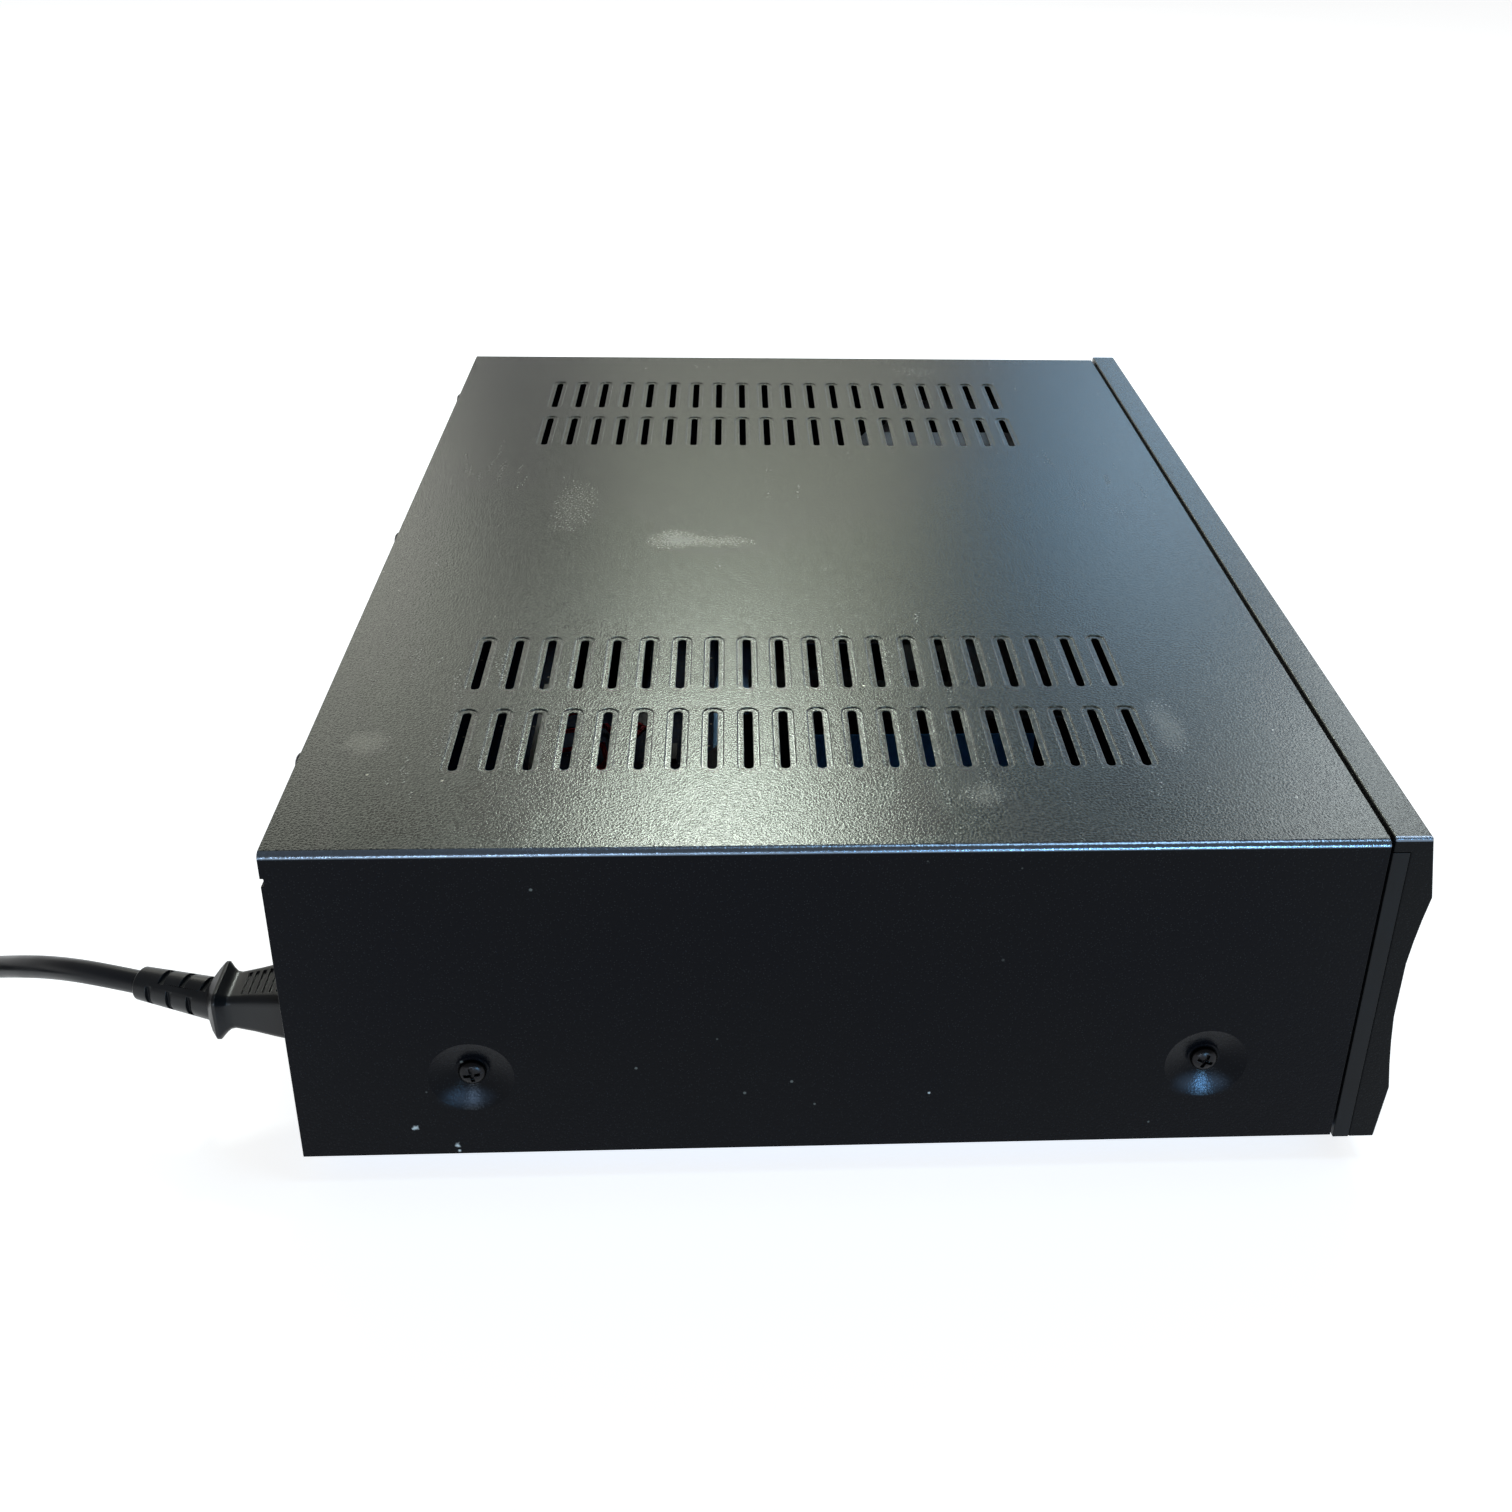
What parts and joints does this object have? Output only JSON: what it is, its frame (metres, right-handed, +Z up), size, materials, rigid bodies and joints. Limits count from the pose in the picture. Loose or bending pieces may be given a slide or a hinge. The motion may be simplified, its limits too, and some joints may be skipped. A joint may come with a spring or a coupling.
{
  "type": "blu-ray player",
  "caption": "Full-width disc player with a slotted dark metal cover, front-loading tray, curved black front panel and a mains cord at the back.",
  "frame": {"origin": "on the table, under the middle of the casing with its rear sockets", "axes": "+X to the right seen from the front, +Y to the rear panel, +Z up"},
  "size_m": [0.456, 0.6072, 0.1232],
  "materials": {
    "top_cover": "fine grained satin coat, dark grey",
    "chassis_pan": "bare zinc-coated sheet",
    "chassis_front": "bare zinc-coated sheet",
    "rear_panel": "satin black coat",
    "front_fascia": "smooth satin black",
    "front_frame": "matt black moulding",
    "display_window": "smoked clear plastic",
    "display_module": "dark glass",
    "front_board": "green board",
    "tact_switches": "black",
    "power_button": "satin black",
    "open_button": "satin black",
    "play_button": "satin black",
    "stop_button": "satin black",
    "cover_screws": "blackened steel",
    "loader_bracket_left": "bare zinc-coated sheet",
    "loader_bracket_right": "bare zinc-coated sheet",
    "loader_frame": "black moulding",
    "disc_tray": "black moulding",
    "tray_door": "smooth satin black",
    "tray_gear": "white moulding",
    "pulley_gear": "white moulding",
    "motor_pulley": "turned brass",
    "drive_belt": "black rubber",
    "loading_motor": "plated can",
    "cam_slider": "white moulding",
    "traverse_frame": "black moulding",
    "guide_rods": "ground steel",
    "sled_motor": "plated can",
    "lead_screw": "steel",
    "pickup_sled": "bare die-cast metal",
    "pickup_lens": "coated lens",
    "spindle_motor": "steel",
    "turntable": "black with rubber platform",
    "clamp_bridge": "zinc-coated sheet",
    "clamp_puck": "white moulding",
    "power_board": "brown board",
    "power_transformer": "yellow tape over dark core",
    "power_capacitors": "dark sleeve",
    "power_heatsink": "bare aluminium",
    "main_board": "blue-green board",
    "main_heatsink": "black anodised",
    "main_chips": "black",
    "board_connectors": "white",
    "wire_harness": "red insulation",
    "flat_cables": "white ribbon",
    "mains_inlet": "black moulding",
    "phono_jacks": "plated barrels",
    "hdmi_socket": "plated shell",
    "network_socket": "plated shell",
    "fan_frame": "black moulding",
    "fan_rotor": "black moulding",
    "cord_connector": "satin black",
    "mains_cord": "satin black",
    "cord_coil": "satin black",
    "mains_plug": "satin black",
    "foot_front_left": "black moulding with a rubber pad",
    "foot_front_right": "black moulding with a rubber pad",
    "foot_rear_left": "black moulding with a rubber pad",
    "foot_rear_right": "black moulding with a rubber pad"
  },
  "bodies": {
    "casing": {"top_cover": "top_cover", "chassis_pan": "chassis_pan", "chassis_front": "chassis_front", "rear_panel": "rear_panel", "front_fascia": "front_fascia", "front_frame": "front_frame", "display_window": "display_window", "display_module": "display_module", "front_board": "front_board", "tact_switches": "tact_switches", "cover_screws": "cover_screws", "loader_bracket_left": "loader_bracket_left", "loader_bracket_right": "loader_bracket_right", "loader_frame": "loader_frame", "drive_belt": "drive_belt", "loading_motor": "loading_motor", "clamp_bridge": "clamp_bridge", "power_board": "power_board", "power_transformer": "power_transformer", "power_capacitors": "power_capacitors", "power_heatsink": "power_heatsink", "main_board": "main_board", "main_heatsink": "main_heatsink", "main_chips": "main_chips", "board_connectors": "board_connectors", "wire_harness": "wire_harness", "flat_cables": "flat_cables", "mains_inlet": "mains_inlet", "phono_jacks": "phono_jacks", "hdmi_socket": "hdmi_socket", "network_socket": "network_socket", "fan_frame": "fan_frame", "cord_connector": "cord_connector", "mains_cord": "mains_cord", "cord_coil": "cord_coil", "mains_plug": "mains_plug", "foot_front_left": "foot_front_left", "foot_front_right": "foot_front_right", "foot_rear_left": "foot_rear_left", "foot_rear_right": "foot_rear_right"},
    "power_key": {"power_button": "power_button"},
    "open_key": {"open_button": "open_button"},
    "play_key": {"play_button": "play_button"},
    "stop_key": {"stop_button": "stop_button"},
    "tray": {"disc_tray": "disc_tray", "tray_door": "tray_door"},
    "tray_pinion": {"tray_gear": "tray_gear"},
    "belt_wheel": {"pulley_gear": "pulley_gear"},
    "motor_wheel": {"motor_pulley": "motor_pulley"},
    "slider": {"cam_slider": "cam_slider"},
    "traverse": {"traverse_frame": "traverse_frame", "guide_rods": "guide_rods", "sled_motor": "sled_motor", "spindle_motor": "spindle_motor"},
    "sled": {"pickup_sled": "pickup_sled", "pickup_lens": "pickup_lens"},
    "screw": {"lead_screw": "lead_screw"},
    "spindle": {"turntable": "turntable"},
    "clamp": {"clamp_puck": "clamp_puck"},
    "fan": {"fan_rotor": "fan_rotor"}
  },
  "joints": [
    {"name": "tray_slide", "type": "slide", "parent": "casing", "child": "tray", "axis": [0, -1, 0], "range_m": [0, 0.152]},
    {"name": "tray_gear_spin", "type": "hinge", "parent": "casing", "child": "tray_pinion", "pos_m": [-0.0405, -0.13135, 0.058], "axis": [0, 0, 1], "range_deg": [0, 581]},
    {"name": "belt_wheel_spin", "type": "hinge", "parent": "casing", "child": "belt_wheel", "pos_m": [-0.0199, -0.13543, 0.053], "axis": [0, 0, 1], "range_deg": [-1452, 0]},
    {"name": "motor_spin", "type": "hinge", "parent": "casing", "child": "motor_wheel", "pos_m": [0.03, -0.13335, 0.0505], "axis": [0, 0, 1], "range_deg": [-4356, 0]},
    {"name": "traverse_tilt", "type": "hinge", "parent": "casing", "child": "traverse", "pos_m": [0, 0.01065, 0.0455], "axis": [1, 0, 0], "range_deg": [0, 5.9]},
    {"name": "cam_slide", "type": "slide", "parent": "casing", "child": "slider", "axis": [1, 0, 0], "range_m": [0, 0.018]},
    {"name": "sled_slide", "type": "slide", "parent": "traverse", "child": "sled", "axis": [0, 1, 0], "range_m": [0, 0.034]},
    {"name": "lead_screw_spin", "type": "hinge", "parent": "traverse", "child": "screw", "pos_m": [-0.042, -0.03535, 0.0525], "axis": [0, 1, 0], "range_deg": [0, 4081]},
    {"name": "turntable_spin", "type": "hinge", "parent": "traverse", "child": "spindle", "pos_m": [0, -0.07535, 0.06], "axis": [0, 0, 1], "continuous": true},
    {"name": "clamp_spin", "type": "hinge", "parent": "casing", "child": "clamp", "pos_m": [0, -0.07535, 0.075], "axis": [0, 0, 1], "continuous": true},
    {"name": "fan_spin", "type": "hinge", "parent": "casing", "child": "fan", "pos_m": [-0.065, 0.15265, 0.06], "axis": [0, 1, 0], "continuous": true},
    {"name": "power_press", "type": "slide", "parent": "casing", "child": "power_key", "axis": [0, 1, 0], "range_m": [0, 0.0007], "stiffness_N_per_m": 600},
    {"name": "open_press", "type": "slide", "parent": "casing", "child": "open_key", "axis": [0, 1, 0], "range_m": [0, 0.0007], "stiffness_N_per_m": 600},
    {"name": "play_press", "type": "slide", "parent": "casing", "child": "play_key", "axis": [0, 1, 0], "range_m": [0, 0.0007], "stiffness_N_per_m": 600},
    {"name": "stop_press", "type": "slide", "parent": "casing", "child": "stop_key", "axis": [0, 1, 0], "range_m": [0, 0.0007], "stiffness_N_per_m": 600}
  ],
  "couplings": [
    {"joint": "tray_gear_spin", "follows": "tray_slide", "rad_per_m": 66.667},
    {"joint": "belt_wheel_spin", "follows": "tray_slide", "rad_per_m": -166.67},
    {"joint": "motor_spin", "follows": "tray_slide", "rad_per_m": -500},
    {"joint": "cam_slide", "follows": "traverse_tilt", "m_per_rad": 0.17479},
    {"joint": "lead_screw_spin", "follows": "sled_slide", "rad_per_m": 2094.4},
    {"joint": "clamp_spin", "follows": "turntable_spin", "ratio": 1}
  ]
}
